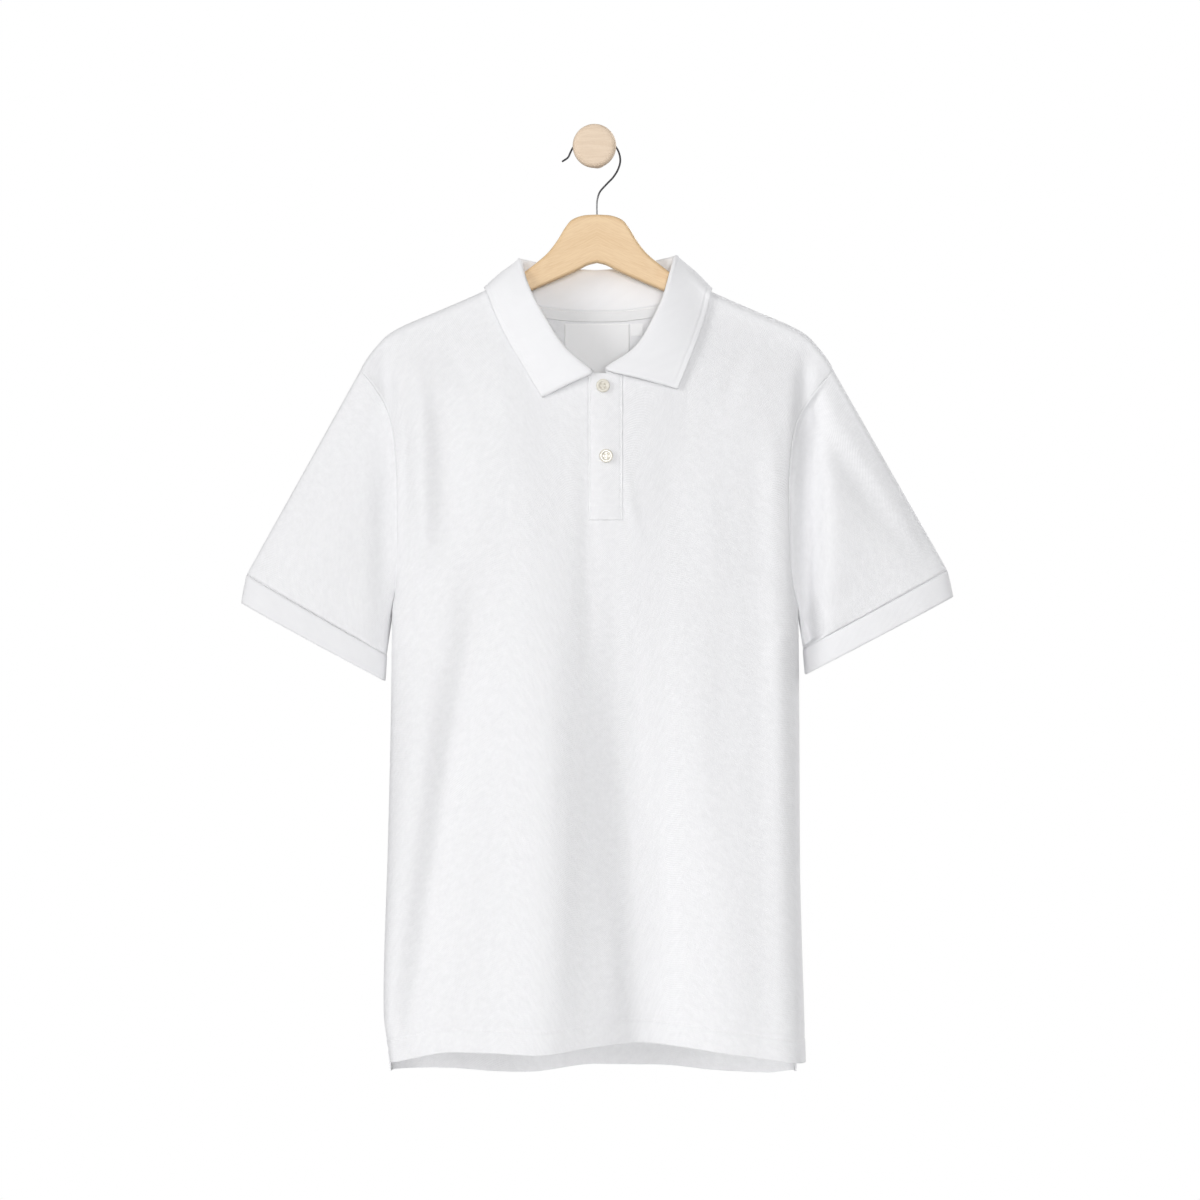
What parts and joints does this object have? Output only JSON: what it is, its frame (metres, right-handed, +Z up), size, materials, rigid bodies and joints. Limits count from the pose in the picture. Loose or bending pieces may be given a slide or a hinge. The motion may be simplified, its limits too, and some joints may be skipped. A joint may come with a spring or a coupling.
{
  "type": "polo shirt on a wooden hanger and wall peg",
  "caption": "Short-sleeved white knit polo shirt with collar and button placket, hung on a flat wooden hanger whose wire hook rests on a round wall peg.",
  "frame": {"origin": "middle of the peg's back face, on the wall", "axes": "+Z up, +Y into the wall, +X to the right of someone who faces the wall; the shirt's front faces -Y"},
  "size_m": [0.6755, 0.1047, 0.9042],
  "materials": {
    "pique": "matte cotton pique knit",
    "rib": "matte flat knit",
    "tape": "smooth woven tape",
    "button": "polished cream shell",
    "hanger_wood": "clear satin lacquer",
    "hook_steel": "polished",
    "peg_wood": "bare, sanded"
  },
  "bodies": {
    "root": {"front_panel": "pique", "back_panel": "pique", "sleeve_left": "pique", "sleeve_right": "pique", "cuff_left": "rib", "cuff_right": "rib", "collar": "rib", "placket_over": "pique", "placket_under": "pique", "button_upper": "button", "button_lower": "button", "neck_tape": "tape", "neck_label": "tape", "size_label": "tape", "hanger": "hanger_wood", "hook": "hook_steel", "wall_peg": "peg_wood"}
  },
  "joints": []
}
